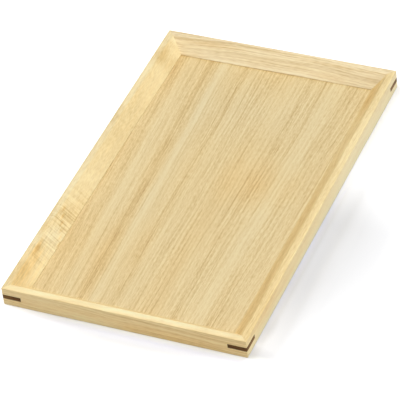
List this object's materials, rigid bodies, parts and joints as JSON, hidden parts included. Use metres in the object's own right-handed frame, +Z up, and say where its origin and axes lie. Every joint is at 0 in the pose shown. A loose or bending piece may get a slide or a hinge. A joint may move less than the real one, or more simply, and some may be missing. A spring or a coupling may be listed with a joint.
{
  "type": "serving tray",
  "caption": "Rectangular wooden serving tray: low mitred rails with a level rim, a sloping inner face and dark corner splines, round a flat veneered floor.",
  "frame": {"origin": "middle of the underside, on the plane that the rails rest on", "axes": "+X across the tray to its right side, +Y along the tray to its back, +Z up"},
  "size_m": [0.24, 0.39, 0.02],
  "materials": {
    "ash_rail": "planed, sanded and clear lacquered, satin",
    "ash_veneer": "sliced veneer, clear lacquered, satin",
    "birch_ply": "rotary-cut ply, unfinished",
    "walnut_spline": "sanded flush and clear lacquered, satin"
  },
  "bodies": {
    "root": {"front_rail": "ash_rail", "right_rail": "ash_rail", "back_rail": "ash_rail", "left_rail": "ash_rail", "front_left_spline": "walnut_spline", "front_right_spline": "walnut_spline", "back_right_spline": "walnut_spline", "back_left_spline": "walnut_spline", "floor_back_veneer": "ash_veneer", "floor_lower_crossband": "birch_ply", "floor_core": "birch_ply", "floor_upper_crossband": "birch_ply", "floor_face_veneer": "ash_veneer"}
  },
  "joints": []
}
